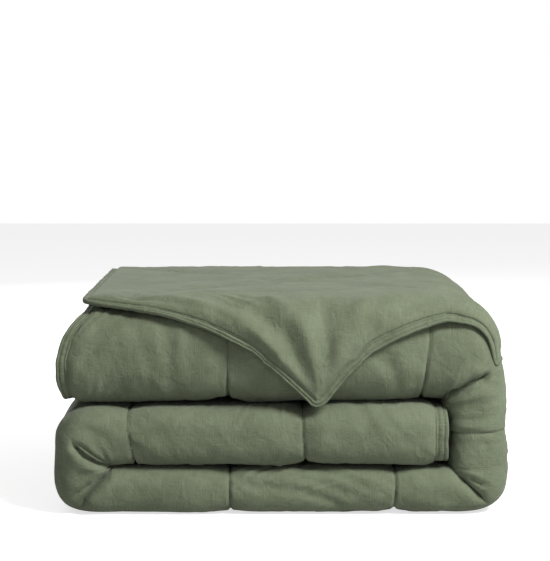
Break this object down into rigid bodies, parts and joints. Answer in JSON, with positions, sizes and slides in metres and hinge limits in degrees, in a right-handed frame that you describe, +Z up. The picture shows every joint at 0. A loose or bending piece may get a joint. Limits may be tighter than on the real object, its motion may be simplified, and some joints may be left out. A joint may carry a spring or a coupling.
{
  "type": "folded duvet",
  "caption": "Quilted duvet folded in quarters and rolled in three, with rounded puffy folds, hemmed ends and one corner turned down over the front.",
  "frame": {"origin": "on the floor, under the middle of the folded stack", "axes": "+X to the right along the front, +Y to the back, +Z up"},
  "size_m": [0.6378, 0.528, 0.3015],
  "materials": {
    "face_cloth": "matt washed plain weave, sage green",
    "lining_cloth": "matt washed plain weave, sage green",
    "hem_cloth": "matt plain weave folded double and topstitched",
    "quilting_thread": "matt polyester thread",
    "batting": "loose white polyester fibre",
    "label_cloth": "blank satin tape"
  },
  "bodies": {
    "lower_folds": {"bottom_back_fold": "face_cloth", "bottom_back_hem_inner": "hem_cloth", "bottom_back_hem_outer": "hem_cloth", "bottom_inner_batting": "batting", "bottom_lining": "lining_cloth", "bottom_outer_batting": "batting", "bottom_quilting_seam_1": "quilting_thread", "bottom_quilting_seam_2": "quilting_thread", "bottom_shell": "face_cloth", "care_label": "label_cloth", "left_turn_batting": "batting", "left_turn_shell": "face_cloth", "lower_right_turn_batting": "batting", "lower_right_turn_shell": "face_cloth", "middle_back_fold": "face_cloth", "middle_back_hem_inner": "hem_cloth", "middle_back_hem_outer": "hem_cloth", "middle_end_hem_inner": "hem_cloth", "middle_end_hem_outer": "hem_cloth", "middle_inner_batting": "batting", "middle_lining": "lining_cloth", "middle_outer_batting": "batting", "middle_quilting_seam_1": "quilting_thread", "middle_quilting_seam_2": "quilting_thread", "middle_shell": "face_cloth", "right_turn_quilting_seam": "quilting_thread"},
    "top_fold": {"top_back_fold": "face_cloth", "top_back_hem_inner": "hem_cloth", "top_back_hem_outer": "hem_cloth", "top_end_hem_inner": "hem_cloth", "top_end_hem_outer": "hem_cloth", "top_inner_batting": "batting", "top_lining": "lining_cloth", "top_outer_batting": "batting", "top_ply_back_hem": "hem_cloth", "top_ply_batting": "batting", "top_ply_end_hem": "hem_cloth", "top_ply_face": "face_cloth", "top_ply_lining": "lining_cloth", "top_quilting_seam_1": "quilting_thread", "top_quilting_seam_2": "quilting_thread", "top_shell": "face_cloth", "upper_right_turn_batting": "batting", "upper_right_turn_shell": "face_cloth"},
    "corner": {"corner_batting": "batting", "corner_face": "face_cloth", "corner_hem_left": "hem_cloth", "corner_hem_right": "hem_cloth", "corner_lining": "lining_cloth"}
  },
  "joints": [
    {"name": "top_fold_open", "type": "hinge", "parent": "lower_folds", "child": "top_fold", "pos_m": [0.3195, 0, 0.15075], "axis": [0, 1, 0], "range_deg": [0, 180]},
    {"name": "corner_lift", "type": "hinge", "parent": "top_fold", "child": "corner", "pos_m": [0, -0.25325, 0.26138], "axis": [1, 0, 0], "range_deg": [-100, 0]}
  ]
}
